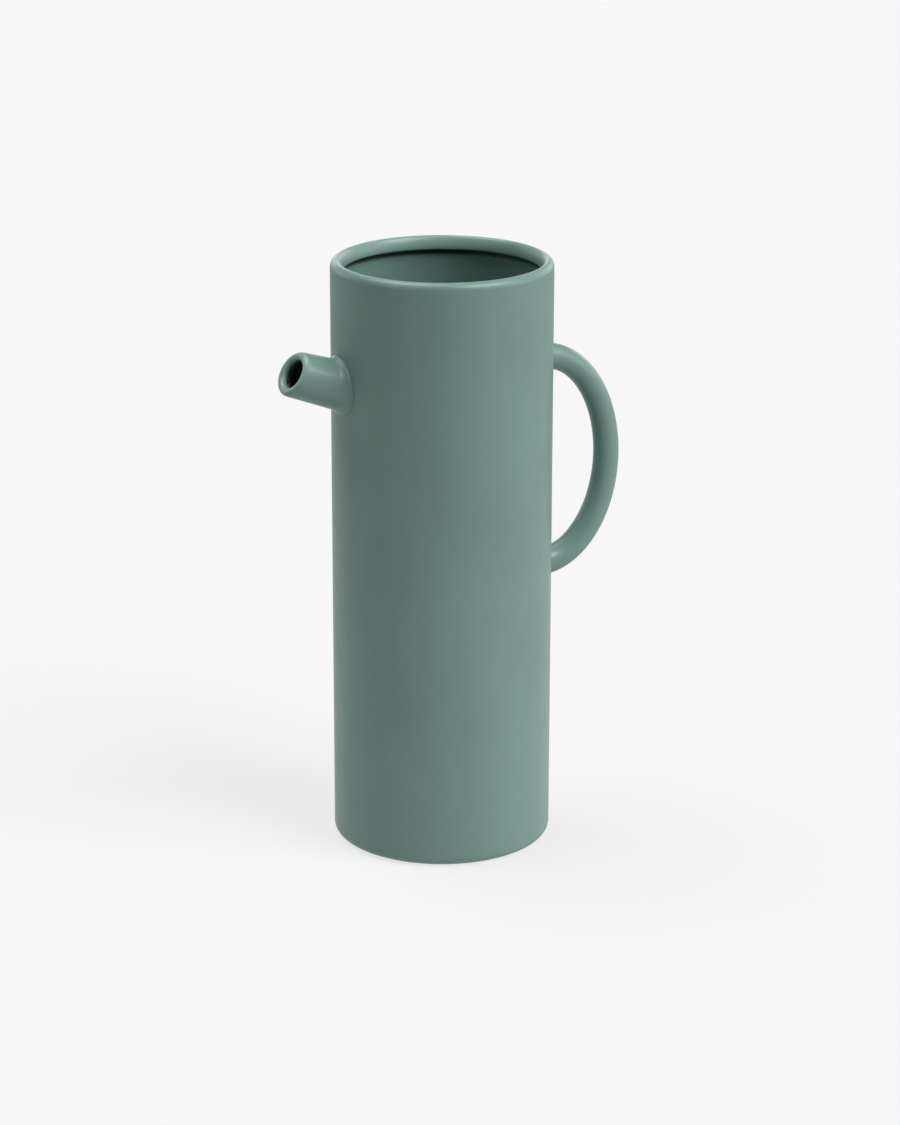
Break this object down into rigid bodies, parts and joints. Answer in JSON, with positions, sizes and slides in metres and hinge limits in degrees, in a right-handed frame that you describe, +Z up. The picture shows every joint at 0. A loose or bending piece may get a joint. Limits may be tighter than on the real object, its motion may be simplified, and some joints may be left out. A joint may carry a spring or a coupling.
{
  "type": "ceramic pitcher",
  "caption": "Tall cylindrical glazed ceramic pitcher with an inward-rolled lip, a short rising tube spout and a round loop handle.",
  "frame": {"origin": "centre of the flat underside, on the body's axis, at the height of the surface it stands on", "axes": "+Z up along the body's axis, -X towards the spout, +X towards the handle"},
  "size_m": [0.1714, 0.1028, 0.28],
  "materials": {
    "body_glaze": "satin matt sage-teal glaze on stoneware",
    "seam_glaze": "the same satin matt glaze over slip"
  },
  "bodies": {
    "root": {"body": "body_glaze", "spout": "body_glaze", "handle": "body_glaze", "spout_slip_seam": "seam_glaze", "handle_upper_slip_seam": "seam_glaze", "handle_lower_slip_seam": "seam_glaze"}
  },
  "joints": []
}
